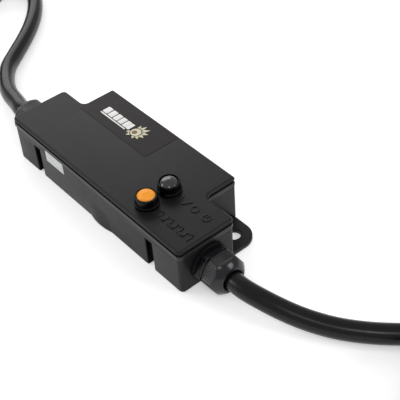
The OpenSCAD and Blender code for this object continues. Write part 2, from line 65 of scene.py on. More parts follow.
class Shader:
    """Builds one node material in steps; noise sizes are per metre of the piece."""

    def __init__(self, name, color, rough, spec=0.5, metal=0.0):
        self.m = bpy.data.materials.new(name)
        self.m.use_nodes = True
        self.t = self.m.node_tree
        self.n = self.t.nodes
        self.bsdf = self.n["Principled BSDF"]
        self.bsdf.inputs["Base Color"].default_value = (*color, 1)
        self.bsdf.inputs["Roughness"].default_value = rough
        self.bsdf.inputs["Specular IOR Level"].default_value = spec
        self.bsdf.inputs["Metallic"].default_value = metal
        self.color = color
        self.rough = rough
        self.coord = self.n.new("ShaderNodeTexCoord").outputs["Object"]
        self.height = None

    def link(self, a, b):
        self.t.links.new(a, b)

    def noise(self, scale, detail=3.0, rough=0.55, stretch=None, distort=0.0):
        """A noise factor in the piece's own space."""
        n = self.n.new("ShaderNodeTexNoise")
        n.inputs["Scale"].default_value = scale
        n.inputs["Detail"].default_value = detail
        n.inputs["Roughness"].default_value = rough
        n.inputs["Distortion"].default_value = distort
        src = self.coord
        if stretch:
            mp = self.n.new("ShaderNodeMapping")
            mp.inputs["Scale"].default_value = stretch
            self.link(self.coord, mp.inputs["Vector"])
            src = mp.outputs["Vector"]
        self.link(src, n.inputs["Vector"])
        return n.outputs["Fac"]

    def ramp(self, fac, low, high, a=0.3, b=0.7):
        """Turns a factor of `a` to `b` into a value of `low` to `high`."""
        r = self.n.new("ShaderNodeMapRange")
        r.inputs["From Min"].default_value = a
        r.inputs["From Max"].default_value = b
        r.inputs["To Min"].default_value = low
        r.inputs["To Max"].default_value = high
        self.link(fac, r.inputs["Value"])
        return r.outputs["Result"]

    def mix(self, fac, a, b):
        """A colour between `a` and `b`, each a colour or a socket."""
        m = self.n.new("ShaderNodeMix")
        m.data_type = "RGBA"
        self.link(fac, m.inputs["Factor"])
        for socket, value in ((m.inputs["A"], a), (m.inputs["B"], b)):
            if isinstance(value, tuple):
                socket.default_value = (*value, 1)
            else:
                self.link(value, socket)
        return m.outputs["Result"]

    def tint(self, fac, amount):
        """Colour drifts by `amount` either side of the base colour."""
        low = tuple(c * (1 - amount) for c in self.color)
        high = tuple(c * (1 + amount) for c in self.color)
        self.paint(self.mix(self.ramp(fac, 0, 1), low, high))

    def paint(self, socket):
        self.link(socket, self.bsdf.inputs["Base Color"])

    def roughen(self, fac, amount):
        """Roughness drifts by `amount` either side of its base value."""
        out = self.ramp(fac, self.rough - amount, self.rough + amount)
        self.link(out, self.bsdf.inputs["Roughness"])

    def bump(self, fac, strength, distance):
        """Adds a relief on top of those added before it."""
        b = self.n.new("ShaderNodeBump")
        b.inputs["Strength"].default_value = strength
        b.inputs["Distance"].default_value = distance
        self.link(fac, b.inputs["Height"])
        if self.height is not None:
            self.link(self.height, b.inputs["Normal"])
        self.height = b.outputs["Normal"]
        self.link(self.height, self.bsdf.inputs["Normal"])

    def pale_convex_edges(self, lighter, amount):
        """Convex edges are painted a little paler."""
        g = self.n.new("ShaderNodeNewGeometry")
        edge = self.ramp(g.outputs["Pointiness"], 0, amount, 0.52, 0.62)
        base = self.bsdf.inputs["Base Color"].links
        self.paint(self.mix(edge, base[0].from_socket, lighter))


def moulded(name, color, rough, grain=2600, fine=0.16, spec=0.5):
    """Injection-moulded plastic: a spark-eroded grain, slow mottling, paler convex edges."""
    s = Shader(name, color, rough, spec)
    s.tint(s.noise(38, 4, 0.6), 0.05)
    s.roughen(s.noise(160, 3, 0.6), 0.025)
    s.bump(s.noise(grain, 2, 0.5), fine, 0.00006)
    s.bump(s.noise(90, 2, 0.5), 0.02, 0.0002)
    s.pale_convex_edges(tuple(min(1, c * 1.9 + 0.01) for c in color), 0.5)
    return s.m


def rubbery(name, color, rough, spec=0.45):
    """Matt rubber or soft wire insulation."""
    s = Shader(name, color, rough, spec)
    s.tint(s.noise(60, 4, 0.6), 0.2)
    s.roughen(s.noise(220, 3, 0.6), 0.1)
    s.bump(s.noise(1500, 2, 0.5), 0.12, 0.00005)
    return s.m


def jacket_skin(name, color, rough):
    """Extruded cable jacket: faint lengthwise flow and a satin, slightly scuffed skin."""
    s = Shader(name, color, rough, 0.28)
    s.tint(s.noise(45, 4, 0.6), 0.18)
    s.roughen(s.noise(130, 4, 0.65, distort=0.4), 0.05)
    s.bump(s.noise(70, 2, 0.5), 0.06, 0.0003)
    s.bump(s.noise(1800, 2, 0.5), 0.08, 0.00004)
    return s.m


def glossy(name, color, rough, spec=0.5, coat=0.0, sub=0.0):
    """Smooth plastic or ink; `coat` adds a clear layer, `sub` a soft glow inside."""
    s = Shader(name, color, rough, spec)
    s.tint(s.noise(120, 3, 0.5), 0.06)
    s.roughen(s.noise(400, 3, 0.6), 0.03)
    s.bump(s.noise(300, 2, 0.5), 0.03, 0.0001)
    s.bsdf.inputs["Coat Weight"].default_value = coat
    s.bsdf.inputs["Coat Roughness"].default_value = 0.08
    if sub:
        s.bsdf.inputs["Subsurface Weight"].default_value = sub
        s.bsdf.inputs["Subsurface Radius"].default_value = (1.0, 0.4, 0.1)
        s.bsdf.inputs["Subsurface Scale"].default_value = 0.002
    return s.m


def metal(name, color, rough, stretch=(1, 1, 12)):
    """Bare metal with marks drawn out along `stretch`."""
    s = Shader(name, color, rough, 0.5, 1.0)
    s.tint(s.noise(300, 3, 0.6), 0.1)
    s.roughen(s.noise(500, 4, 0.6, stretch), 0.09)
    s.bump(s.noise(900, 3, 0.6, stretch), 0.12, 0.00004)
    return s.m


def board_mask(name):
    """Green solder mask over faint copper tracks."""
    s = Shader(name, (0.012, 0.09, 0.035), 0.32)
    tracks = s.n.new("ShaderNodeTexVoronoi")
    tracks.distance = "MANHATTAN"
    tracks.inputs["Scale"].default_value = 190
    s.link(s.coord, tracks.inputs["Vector"])
    line = s.ramp(tracks.outputs["Distance"], 1, 0, 0.30, 0.34)
    s.paint(s.mix(line, (0.010, 0.075, 0.03), (0.03, 0.16, 0.06)))
    s.roughen(s.noise(400), 0.05)
    s.bump(line, 0.3, 0.00004)
    return s.m


def label_film(name):
    """White film with rows of plain grey ticks."""
    white, dusty, grey = (0.62, 0.63, 0.64), (0.42, 0.42, 0.42), (0.16, 0.16, 0.17)
    row_pitch, row_gap = 0.0021, 0.62
    tick_pitch, tick_gap = 0.00135, 0.35
    s = Shader(name, white, 0.42)
    sep = s.n.new("ShaderNodeSeparateXYZ")
    s.link(s.coord, sep.inputs["Vector"])

    def calc(operation, a, b=None):
        """One arithmetic node; `b` is a number or a socket."""
        node = s.n.new("ShaderNodeMath")
        node.operation = operation
        s.link(a, node.inputs[0])
        if isinstance(b, float):
            node.inputs[1].default_value = b
        elif b is not None:
            s.link(b, node.inputs[1])
        return node.outputs[0]

    def stripes(along, pitch, gap):
        return calc("GREATER_THAN", calc("FRACT", calc("MULTIPLY", along, 1 / pitch)), gap)

    rows = stripes(sep.outputs["Z"], row_pitch, row_gap)
    ticks = stripes(sep.outputs["X"], tick_pitch, tick_gap)
    paper = s.mix(s.ramp(s.noise(240, 4, 0.6), 0, 0.25), white, dusty)
    s.paint(s.mix(calc("MULTIPLY", rows, ticks), paper, grey))
    s.roughen(s.noise(500), 0.06)
    s.bump(s.noise(350), 0.1, 0.00005)
    return s.m


M_CASE = moulded("case_plastic", (0.0075, 0.0075, 0.0078), 0.42, spec=0.2)
# Rim band: the case's own black plastic, given a paler colour here as a painted highlight.
M_BAND_PAINTED_HIGHLIGHT = moulded("rim_band_painted_highlight", (0.0130, 0.0130, 0.0134), 0.36, spec=0.30)
M_LID = moulded("lid_plastic", (0.0085, 0.0085, 0.0088), 0.38, spec=0.21)
# Near-black matt lining: painted shade inside the deep screw channels.
M_PAINTED_CHANNEL_SHADE = moulded("painted_channel_shade", (0.0015, 0.0015, 0.0015), 0.7, spec=0.06)
M_GLAND = moulded("gland_nylon", (0.0045, 0.0038, 0.0062), 0.20, grain=2200, fine=0.06,
                  spec=0.42)
# Near-black seal rubber: the seals' own colour, and on the lid gasket also the painted shade of
# the seam under the lid.
M_SEAL_AND_SEAM_SHADE = rubbery("seal_rubber", (0.003, 0.003, 0.003), 0.62, spec=0.15)
M_JACKET = jacket_skin("cable_jacket", (0.004, 0.004, 0.004), 0.25)
M_BEZEL = glossy("bezel_plastic", (0.001, 0.001, 0.0012), 0.24, spec=0.16)
M_AMBER = glossy("amber_cap", (1.0, 0.36, 0.02), 0.42, spec=0.4, sub=0.15)
M_BLACKCAP = glossy("black_cap", (0.012, 0.012, 0.013), 0.18, spec=0.6, coat=0.6)
M_STEEL = metal("screw_steel", (0.55, 0.55, 0.56), 0.32)
M_BRASS = metal("contact_brass", (0.62, 0.42, 0.16), 0.30)
M_BOARD = board_mask("board_mask")
M_CHIP = moulded("chip_resin", (0.015, 0.015, 0.016), 0.45)
M_CAN = metal("capacitor_can", (0.10, 0.11, 0.22), 0.28, stretch=(1, 1, 1))
M_GREEN = moulded("terminal_plastic", (0.03, 0.20, 0.07), 0.42)
M_CREAM = moulded("header_plastic", (0.62, 0.58, 0.48), 0.45)
M_RED = rubbery("wire_red", (0.35, 0.02, 0.015), 0.42)
M_YELLOW = rubbery("wire_yellow", (0.50, 0.33, 0.02), 0.42)
M_FILM = glossy("decal_film", (0.0095, 0.0062, 0.0064), 0.38, spec=0.17)
M_LABEL = label_film("label_film")
M_INK = glossy("decal_ink_white", (0.80, 0.80, 0.78), 0.40)
M_CREAMINK = glossy("decal_ink_cream", (0.62, 0.58, 0.40), 0.40)
M_BROWNINK = glossy("decal_ink_brown", (0.16, 0.09, 0.06), 0.42)
M_TIE = moulded("tie_nylon", (0.02, 0.02, 0.02), 0.40)
M_PLUG = moulded("plug_plastic", (0.014, 0.014, 0.015), 0.36)

# ---- Mesh helpers -----------------------------------------------------------


def place(obj, body, material, *replaced, slot=None, smooth=True):
    """Gives a piece its material, its body and the nodes it stands for; `slot` is not used."""
    obj.data.materials.append(material)
    if smooth and obj.type == "MESH":
        obj.data.polygons.foreach_set("use_smooth", [True] * len(obj.data.polygons))
    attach(obj, body)
    if replaced:
        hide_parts(*replaced)
    return obj


WELD_M = 2e-7         # points closer than this become one
TIP_R = 1e-4          # radius of the ring that closes a turned piece on its axis


def make(name, verts, faces):
    """A mesh from points in millimetres."""
    me = bpy.data.meshes.new(name)
    me.from_pydata([tuple(c * MM for c in v) for v in verts], [], faces)
    me.update()
    obj = bpy.data.objects.new(name, me)
    scene.collection.objects.link(obj)
    bm = bmesh.new()
    bm.from_mesh(me)
    bmesh.ops.remove_doubles(bm, verts=bm.verts, dist=WELD_M)
    bmesh.ops.recalc_face_normals(bm, faces=bm.faces)
    bm.to_mesh(me)
    bm.free()
    return obj


def loft(name, loops, cap_first=True, cap_last=True):
    """Skins equal-length loops; closes the ends with one face each."""
    n = len(loops[0])
    verts = [p for loop in loops for p in loop]
    faces = []
    for k in range(len(loops) - 1):
        for j in range(n):
            a, b = k * n + j, k * n + (j + 1) % n
            faces.append((a, b, b + n, a + n))
    if cap_first:
        faces.append(tuple(range(n - 1, -1, -1)))
    if cap_last:
        last = (len(loops) - 1) * n
        faces.append(tuple(last + j for j in range(n)))
    return make(name, verts, faces)


def lathe(name, profile, at, axis="z", n=96, closed=False):
    """Turns (radius, height) pairs round an axis through `at`."""
    loops = []
    for r, h in profile:
        loop = []
        for j in range(n):
            a = 2 * math.pi * j / n
            u, v = max(r, TIP_R) * math.cos(a), max(r, TIP_R) * math.sin(a)
            if axis == "z":
                loop.append((at[0] + u, at[1] + v, at[2] + h))
            else:
                loop.append((at[0] + h, at[1] + u, at[2] + v))
        loops.append(loop)
    if closed:
        loops.append(loops[0])
    return loft(name, loops, not closed, not closed)


def arc(cx, cy, r, a, b, n):
    """Points of an arc, angles in degrees."""
    return [(cx + r * math.cos(math.radians(a + (b - a) * k / n)),
             cy + r * math.sin(math.radians(a + (b - a) * k / n))) for k in range(n + 1)]


# ---- Outline of the box -----------------------------------------------------

X0, X1 = -80.0, 80.0              # ends of the box
Y0, YB, Y1 = -30.75, 8.25, 30.75  # near wall, far wall, far wall of the wing
W0, W1 = -59.0, 56.0              # ends of the wing
# (x, y, radius, 1 for an outer corner or -1 for an inner one), anticlockwise
CORNERS = [(X0, Y0, 3, 1), (X1, Y0, 3, 1), (X1, YB, 3, 1), (W1, YB, 4, -1),
           (W1, Y1, 1.5, 1), (W0, Y1, 1.5, 1), (W0, YB, 4, -1), (X0, YB, 3, 1)]
CORNER_STEPS = 10
SKIN = 0.3                        # the walls stand back from the rim by this much
NEAR_SCREWS = (-56.0, 52.8)
FAR_SCREWS = (38.0, -41.0)
CHANNEL_R = 3.0
CHANNEL_DEPTH = 5.5
MOUTH_R = 0.5
SWELL_X, SWELL_HALF, SWELL_OUT = 6.0, 10.0, 1.5
SWELL_STEPS = 20


def channel_points(c, way):
    """(position along the wall, depth) of one screw channel, in walking order."""
    m = MOUTH_R
    left = [(-CHANNEL_R - m + m * math.sin(t), m * (1 - math.cos(t)))
            for t in [math.radians(q) for q in (0, 22, 45, 68, 90)]]
    left += [(-CHANNEL_R, 2.0), (-CHANNEL_R, 3.8)]
    bottom = [(CHANNEL_R * math.cos(math.radians(q)),
               CHANNEL_DEPTH + CHANNEL_R * math.sin(math.radians(q)))
              for q in range(180, -1, -15)]
    pts = left + bottom + [(-x, d) for x, d in reversed(left)]
    return [(c + way * x, d) for x, d in pts]


def outline(i, groove=0.0, swell=0.0):
    """The T-shaped outline drawn in by `i`, with the channels and swelling scaled."""
    pts = []
    n = len(CORNERS)
    for k in range(n):
        x, y, r, side = CORNERS[k]
        px, py = CORNERS[k - 1][:2]
        qx, qy = CORNERS[(k + 1) % n][:2]
        d0 = ((x > px) - (x < px), (y > py) - (y < py))
        d1 = ((qx > x) - (qx < x), (qy > y) - (qy < y))
        n0, n1 = (-d0[1], d0[0]), (-d1[1], d1[0])
        cx, cy = x + i * (n0[0] + n1[0]), y + i * (n0[1] + n1[1])
        ri = max(r - i, 0.12) if side > 0 else r + i
        ox = cx - d0[0] * ri + side * n0[0] * ri
        oy = cy - d0[1] * ri + side * n0[1] * ri
        a0 = math.atan2(-side * n0[1], -side * n0[0])
        for s in range(CORNER_STEPS + 1):
            a = a0 + side * math.pi / 2 * s / CORNER_STEPS
            pts.append((ox + ri * math.cos(a), oy + ri * math.sin(a)))
        if k == 0:
            yw = Y0 + i
            feats = [(p, d * groove) for p, d in channel_points(NEAR_SCREWS[0], 1)]
            for s in range(SWELL_STEPS + 1):
                t = -1 + 2 * s / SWELL_STEPS
                feats.append((SWELL_X + SWELL_HALF * t,
                              -swell * SWELL_OUT * (1 - t * t)))
            feats += [(p, d * groove) for p, d in channel_points(NEAR_SCREWS[1], 1)]
            pts += [(p, yw + d) for p, d in feats]
        if k == 4:
            yw = Y1 - i
            for c in FAR_SCREWS:
                pts += [(p, yw - d * groove) for p, d in channel_points(c, -1)]
    return pts


def ring(z, i, groove=0.0, swell=0.0):
    """The outline at height `z`."""
    return [(x, y, z) for x, y in outline(i, groove, swell)]


# ---- Case base --------------------------------------------------------------

LID_TOP, LID_UNDER, BAND_FOOT = 31.0, 29.0, 25.1
CEILING = 21.0                    # top of the screw channels
SWELL_TOP = 12.0
FOOT_R = 0.75
FOOT_ANGLES = (15, 35, 55, 75, 90)
WALL_HEIGHTS = (1.0, 2.0, 3.5, 5, 6.5, 8, 9.5, 11, 12, 16, 20.0, 20.6, 20.85)
# (height, inset) from above the channels over the rim band and down the inside
RIM = ((21.35, 0.3), (21.6, 0.3), (24.3, 0.3), (24.7, 0.3), (24.86, 0.29), (24.98, 0.22),
       (25.06, 0.12), (25.18, 0.03), (25.35, 0.0), (25.6, 0), (26.4, 0.0), (27.0, 0.0),
       (27.2, 0.02), (27.36, 0.08), (27.46, 0.18), (27.5, 0.32), (27.5, 0.6), (27.5, 1.2),
       (27.5, 2.5), (27.45, 2.75), (27.2, 2.8), (4.0, 2.8), (3.0, 2.95), (2.6, 3.3),
       (2.5, 3.8))
# Material slots: painted shade in the screw channels, painted highlight on the rim band.
PAINTED_SHADE_SLOT, HIGHLIGHT_BAND_SLOT = 1, 2
SHADE_HALF = 3.6                  # half width of the stretch shaded round a channel
SHADE_FROM, SHADE_TO = 0.9, 9     # depths between which it is shaded


def swell_at(z):
    """Share of the full swelling at a height."""
    fade = max(0.0, 1 - z / SWELL_TOP)
    return min(1.0, 0.72 + z * 0.35) * fade


base_loops = [ring(0, SKIN + FOOT_R, 1, swell_at(0) * 0.8)]
for t in FOOT_ANGLES:
    a = math.radians(t)
    z = FOOT_R * (1 - math.cos(a))
    base_loops.append(ring(z, SKIN + FOOT_R * (1 - math.sin(a)), 1, swell_at(z)))
for z in WALL_HEIGHTS:
    base_loops.append(ring(z, SKIN, 1, swell_at(z)))
base_loops.append(ring(CEILING, SKIN + 0.02, 1))
base_loops.append(ring(CEILING, SKIN, 0.04))
base_loops.append(ring(CEILING + 0.1, SKIN, 0.015))
for z, i in RIM:
    base_loops.append(ring(z, i))
base = place(loft("case_shell", base_loops), CASE, M_CASE, "case_base", slot="case")
for material in (M_PAINTED_CHANNEL_SHADE, M_BAND_PAINTED_HIGHLIGHT):
    base.data.materials.append(material)
# Faces deep inside the screw channels take the near-black painted shade.
for face in base.data.polygons:
    c = face.center / MM
    shaded = any(
        min(abs(c.x - q) for q in screws) < SHADE_HALF and SHADE_FROM < depth < SHADE_TO
        for screws, depth in ((NEAR_SCREWS, c.y - Y0), (FAR_SCREWS, Y1 - c.y)))
    if shaded and c.z < CEILING + 0.05:
        face.material_index = PAINTED_SHADE_SLOT
    # Upright faces of the rim band take the paler painted highlight.
    elif c.z > BAND_FOOT and abs(face.normal.z) < 0.7:
        face.material_index = HIGHLIGHT_BAND_SLOT


EAR_R, EAR_HOLE, EAR_TOP = 10.5, 4.0, 3.0
EAR_Y = 17.85


def ear(name, hx, hy, wall_x, side):
    """A mounting ear: one rounded plate round its hole, running into both walls."""
    rr, r_hole, top = EAR_R, EAR_HOLE, EAR_TOP
    tiny = 1e-9
    near = YB - SKIN - 1.0
    inner = wall_x - side * 1.2
    angles = [k * 3.0 for k in range(120)]
    for qx, qy in ((inner, hy + rr), (inner, near), (hx + side * rr, near)):
        angles.append(math.degrees(math.atan2(qy - hy, qx - hx)) % 360)
    angles = sorted(set(round(a, 6) for a in angles))

    def reach(a, cut):
        """Distance from the hole's centre to the plate's edge, drawn in by `cut`."""
        c, s = math.cos(math.radians(a)), math.sin(math.radians(a))
        if c * side >= 0 and s >= 0:
            return rr - cut
        spans = []
        if c * side > tiny:
            spans.append((rr - cut) / (c * side))
        elif c * side < -tiny:
            spans.append(abs(hx - inner) / (-c * side))
        if s > tiny:
            spans.append((rr - cut) / s)
        elif s < -tiny:
            spans.append((hy - near) / -s)
        return min(spans)

    def hole(r, z):
        return [(hx + r * math.cos(math.radians(a)), hy + r * math.sin(math.radians(a)), z)
                for a in angles]

    def edge(cut, z):
        return [(hx + reach(a, cut) * math.cos(math.radians(a)),
                 hy + reach(a, cut) * math.sin(math.radians(a)), z) for a in angles]

    loops = [hole(r_hole, 0.5), hole(r_hole, top - 0.5), hole(r_hole + 0.06, top - 0.2),
             hole(r_hole + 0.22, top - 0.05), hole(r_hole + 0.5, top),
             hole(r_hole + 0.8, top), edge(1.0, top), edge(0.7, top), edge(0.35, top - 0.07),
             edge(0.12, top - 0.25), edge(0.0, top - 0.6), edge(0.0, 0.5),
             edge(0.12, 0.2), edge(0.35, 0.04), edge(0.6, 0.0), hole(r_hole + 0.5, 0.0),
             hole(r_hole + 0.15, 0.1), hole(r_hole, 0.5)]
    place(loft(name, loops, False, False), CASE, M_CASE, slot="case")


ear("ear_right", 67.5, EAR_Y, W1 - SKIN, 1)
ear("ear_left", -68.5, EAR_Y, W0 + SKIN, -1)

# ---- Lid --------------------------------------------------------------------

EDGE_R = 1.45
# (height above the lid's underside, inset) of its undercut lower edge
LOWER_EDGE = ((0, 2.2), (0, 1.1), (0.05, 0.72), (0.18, 0.36), (0.34, 0.12), (0.5, 0.0))
lid_loops = [ring(LID_UNDER + up, i) for up, i in LOWER_EDGE]
for t in (0, 15, 30, 45, 60, 75, 90):
    a = math.radians(t)
    lid_loops.append(ring(LID_TOP - EDGE_R * (1 - math.sin(a)), EDGE_R * (1 - math.cos(a))))
lid_loops += [ring(LID_TOP, EDGE_R + 0.2), ring(LID_TOP, EDGE_R + 0.9)]
place(loft("lid_plate", lid_loops), CASE, M_LID, "lid", slot="lid_plastic")

# ---- Raised marks on the lid ------------------------------------------------

MARK_TOP = 0.4


def rounded_bar(name, cx, cy, w, h, turn_deg, z, up, material, r=0.35, soft=0.12, slot=None):
    """A raised bar with rounded corners and a softened top edge."""
    ca, sa = math.cos(math.radians(turn_deg)), math.sin(math.radians(turn_deg))

    def loop(cut, zz):
        pts = []
        rr = max(r - cut, 0.05)
        hw, hh = w / 2 - cut - rr, h / 2 - cut - rr
        for (sx, sy, a) in ((1, -1, -90), (1, 1, 0), (-1, 1, 90), (-1, -1, 180)):
            pts += arc(sx * hw, sy * hh, rr, a, a + 90, 4)
        return [(cx + x * ca - y * sa, cy + x * sa + y * ca, zz) for x, y in pts]

    loops = [loop(-0.06, z - 0.05), loop(0, z + 0.05), loop(0, z + up - soft),
             loop(soft * 0.3, z + up - soft * 0.3), loop(soft, z + up)]
    return place(loft(name, loops), CASE, material, slot=slot)


def raised_ring(name, cx, cy, r_out, width, gap_deg, z, up, material, slot=None):
    """A raised ring; with `gap_deg` it stays open at the top."""
    loops = []
    n = 64
    a0, a1 = 90 + gap_deg / 2, 450 - gap_deg / 2
    section = [(0, -0.05), (0, up - 0.12), (0.05, up - 0.03), (0.14, up),
               (width - 0.14, up), (width - 0.05, up - 0.03), (width, up - 0.12),
               (width, -0.05)]
    for k in range(n + 1):
        a = math.radians(a0 + (a1 - a0) * k / n)
        loops.append([(cx + (r_out - d) * math.cos(a), cy + (r_out - d) * math.sin(a), z + h)
                      for d, h in section])
    place(loft(name, loops, gap_deg > 0, gap_deg > 0), CASE, material, slot=slot)


AMBER = (38.5, -18.75)
BLACK = (38.5, -2.75)
MARK = dict(z=LID_TOP, up=MARK_TOP, material=M_LID, slot="lid_plastic")
MARK_LINE, MARK_RING = 1.0, 2.75
POWER_X = 69.5
rounded_bar("mark_on", 48, BLACK[1], 1.1, 5.5, 0, **MARK)
rounded_bar("mark_slash", 53.5, BLACK[1], MARK_LINE, 6.2, -28, **MARK)
raised_ring("mark_off", 60, BLACK[1], MARK_RING, MARK_LINE, 0, **MARK)
raised_ring("mark_power_ring", POWER_X, BLACK[1], MARK_RING, MARK_LINE, 64, **MARK)
rounded_bar("mark_power_bar", POWER_X, BLACK[1] + 1.55, MARK_LINE, 2.9, 0, **MARK)
PULSES, PULSE_FROM, PULSE, PULSE_H = 4, 47, 8.0, 5.0
pulse_y = AMBER[1]
step_w, level = PULSE / 2 + 0.8, PULSE_H / 2 - MARK_LINE / 2
for k in range(PULSES):
    x = PULSE_FROM + k * PULSE
    rounded_bar(f"mark_rise_{k}", x, pulse_y, MARK_LINE, PULSE_H, 0, **MARK)
    rounded_bar(f"mark_fall_{k}", x + PULSE / 2, pulse_y, MARK_LINE, PULSE_H, 0, **MARK)
    rounded_bar(f"mark_high_{k}", x + PULSE / 4, pulse_y + level, step_w, MARK_LINE, 0, **MARK)
    if k < PULSES - 1:
        rounded_bar(f"mark_low_{k}", x + PULSE * 0.75, pulse_y - level, step_w, MARK_LINE, 0,
                    **MARK)

# ---- Decal print: plain bars and a sun with rays ----------------------------

PRINT_Z = LID_TOP + 0.15          # top of the decal film
INK_UP = 0.04
PRINT = dict(z=PRINT_Z, up=INK_UP, soft=0.02)
BAR_Y, BAR_H, RULE_Y = 15.6, 5.6, 11.7
# (left end, width) of each bar
BARS = [(-45.6, 4.4), (-40.4, 4.2), (-35.4, 4.0), (-30.7, 3.8), (-26.2, 3.6), (-22.4, 2.6)]
for k, (x, w) in enumerate(BARS):
    rounded_bar(f"print_bar_{k}", x + w / 2, BAR_Y, w, BAR_H, 0, material=M_INK, r=0.5, **PRINT)
rounded_bar("print_rule", -33.6, RULE_Y, 24, 0.9, 0, material=M_INK, r=0.3, **PRINT)


def flat_shape(name, pts, z, up, material):
    """A flat printed shape that stands a little proud of the film."""
    loops = [[(x, y, z - 0.03) for x, y in pts], [(x, y, z + up) for x, y in pts]]
    place(loft(name, loops), CASE, material, smooth=False)


SUN_X, SUN_Y = -14.5, 14.6
SUN_R, CORE_R, CORE_OFF, RAYS_FROM = 3.4, 1.7, 0.6, 3.9
# (direction in degrees, reach, half width at the foot) of each ray
RAYS = ((-62, 6.0, 1.1), (-30, 6.6, 1.3), (0, 7.4, 1.5), (28, 8.2, 1.6), (56, 8.8, 1.6),
        (84, 8.0, 1.4), (112, 6.6, 1.2), (214, 6.2, 1.2), (244, 6.2, 1.2))
flat_shape("print_sun", arc(SUN_X, SUN_Y, SUN_R, 0, 354, 40), PRINT_Z, INK_UP, M_CREAMINK)
flat_shape("print_sun_core", arc(SUN_X - CORE_OFF, SUN_Y - CORE_OFF, CORE_R, 0, 350, 30),
           PRINT_Z + INK_UP, 0.03, M_BROWNINK)
for k, (a, length, wide) in enumerate(RAYS):
    c, s = math.cos(math.radians(a)), math.sin(math.radians(a))
    foot_x, foot_y = SUN_X + c * RAYS_FROM, SUN_Y + s * RAYS_FROM
    pts = [(foot_x - s * wide, foot_y + c * wide), (foot_x + s * wide, foot_y - c * wide),
           (SUN_X + c * length, SUN_Y + s * length)]
    flat_shape(f"print_ray_{k}", pts, PRINT_Z, INK_UP, M_CREAMINK)

# ---- Push-buttons -----------------------------------------------------------

# (radius, height above the lid), from the foot inside, over the top and down the bore
BEZEL = [(5.56, 0.6), (6.4, 0.5), (6.85, 0.55), (7.0, 0.75), (7.0, 1.35), (6.93, 1.6),
         (6.72, 1.85), (6.6, 2.15), (6.55, 2.6), (6.5, 4.0), (6.42, 5.6), (6.36, 6.1),
         (6.26, 6.45), (6.1, 6.66), (5.92, 6.75), (5.74, 6.73), (5.62, 6.62), (5.55, 6.4),
         (5.52, 6.0), (5.52, 2.0)]


BEZEL_TOP = 6.8
CAP_R, CAP_EDGE, CAP_STEPS = 5.38, 0.9, 12
ROUND = 128                       # points round a bezel or a cap


def cap_profile(dome):
    """(radius, height above the bezel's top) of a domed cap."""
    r, edge = CAP_R, CAP_EDGE
    ball = (r * r + (dome + edge) ** 2) / (2 * (dome + edge))
    pts = [(5.1, -4.4), (r, -4.2), (r, -edge - 0.35), (r - 0.05, -edge - 0.12)]
    top_angle = math.asin((r - 0.14) / ball)
    for k in range(CAP_STEPS + 1):
        a = top_angle * (1 - k / CAP_STEPS)
        pts.append((ball * math.sin(a), dome - ball + ball * math.cos(a)))
    return pts


for colour, (x, y), dome, material in (("amber", AMBER, 2.2, M_AMBER),
                                       ("black", BLACK, 1.3, M_BLACKCAP)):
    place(lathe(f"{colour}_bezel", BEZEL, (x, y, LID_TOP), n=ROUND), CASE, M_BEZEL,
          slot="bezel")
    cap = lathe(f"{colour}_cap_dome", cap_profile(dome), (x, y, LID_TOP + BEZEL_TOP), n=ROUND)
    place(cap, f"{colour}_button", material, slot=f"cap_{colour}")

# ---- Glands -----------------------------------------------------------------

GLAND = (-11.25, 12.2)            # y and z of both glands' axis
FLATS = 22.0
HEX_FROM, HEX_TO, HEX_ROUND = 81.7, 87.0, 12.4
NUT_FROM, NUT_RIBS_TO, MOUTH, NUT_ROUND = 87.5, 94.6, 99.6, 12.45
DOME_AT, DOME_R = 88.5, 13.6
RIB_DEPTH = 0.34
# (radius, distance from the box's middle) of the turned parts
WASHER = ((9.35, 79.7), (11.7, 79.7), (12.0, 79.8), (12.1, 80.05), (12.1, 81.3),
          (12.0, 81.55), (11.7, 81.7), (9.35, 81.7))
HEX_BORE = ((9.3, 87.0), (9.3, 88.2))
NUT_BORE = ((7.5, MOUTH), (7.2, MOUTH), (6.8, 99.55), (6.65, 99.4), (6.6, 99.1), (6.6, 95.0))
SEAL_LIP = ((5.76, 96.2), (6.5, 96.2), (6.56, 98.2), (6.4, 98.75), (6.1, 98.85), (5.9, 98.7),
            (5.76, 98.3))


def hex_reach(a):
    """Distance to a hexagon's edge; a flat faces up."""
    off_flat = ((a - 90 + 30) % 60) - 30
    return FLATS / 2 / math.cos(math.radians(off_flat))


def polar(name, xs, reach, side, bore):
    """A body along X whose radius changes with the angle, closed round its bore."""
    def loop(x, radius_at):
        points = []
        for a in range(360):
            r, t = radius_at(a), math.radians(a)
            points.append((side * x, GLAND[0] + r * math.cos(t), GLAND[1] + r * math.sin(t)))
        return points

    loops = [loop(x, lambda a: reach(a, x)) for x in xs]
    return loft(name, loops + [loop(x, lambda a: r) for r, x in bore])


def hex_body(a, x):
    """Radius of the gland's fixed hexagon, its corners turned off at both ends."""
    r = min(hex_reach(a), HEX_ROUND)
    for end in (HEX_FROM, HEX_TO):
        r = min(r, 11.55 + abs(x - end) * 1.7)
    return r


def nut_body(a, x):
    """Radius of the dome nut: ribbed flats that run out into a rounded mouth."""
    r = min(hex_reach(a), NUT_ROUND)
    r = min(r, 11.6 + (x - NUT_FROM) * 2.0)
    if NUT_FROM + 0.6 < x < NUT_RIBS_TO:
        fade = min(1, (x - NUT_FROM - 0.6) / 0.4, (NUT_RIBS_TO - x) / 0.5)
        ribs = 0.5 + 0.5 * math.cos(math.radians(a * 60))
        r -= RIB_DEPTH * fade * (1 - ribs) ** 1.5
    along = x - DOME_AT
    if along > 0:
        inside = DOME_R ** 2 - along ** 2
        r = min(r, math.sqrt(max(inside, 1)))
    return r


def frange(a, b, n):
    """Evenly spaced numbers from a to b."""
    return [a + (b - a) * k / n for k in range(n + 1)]


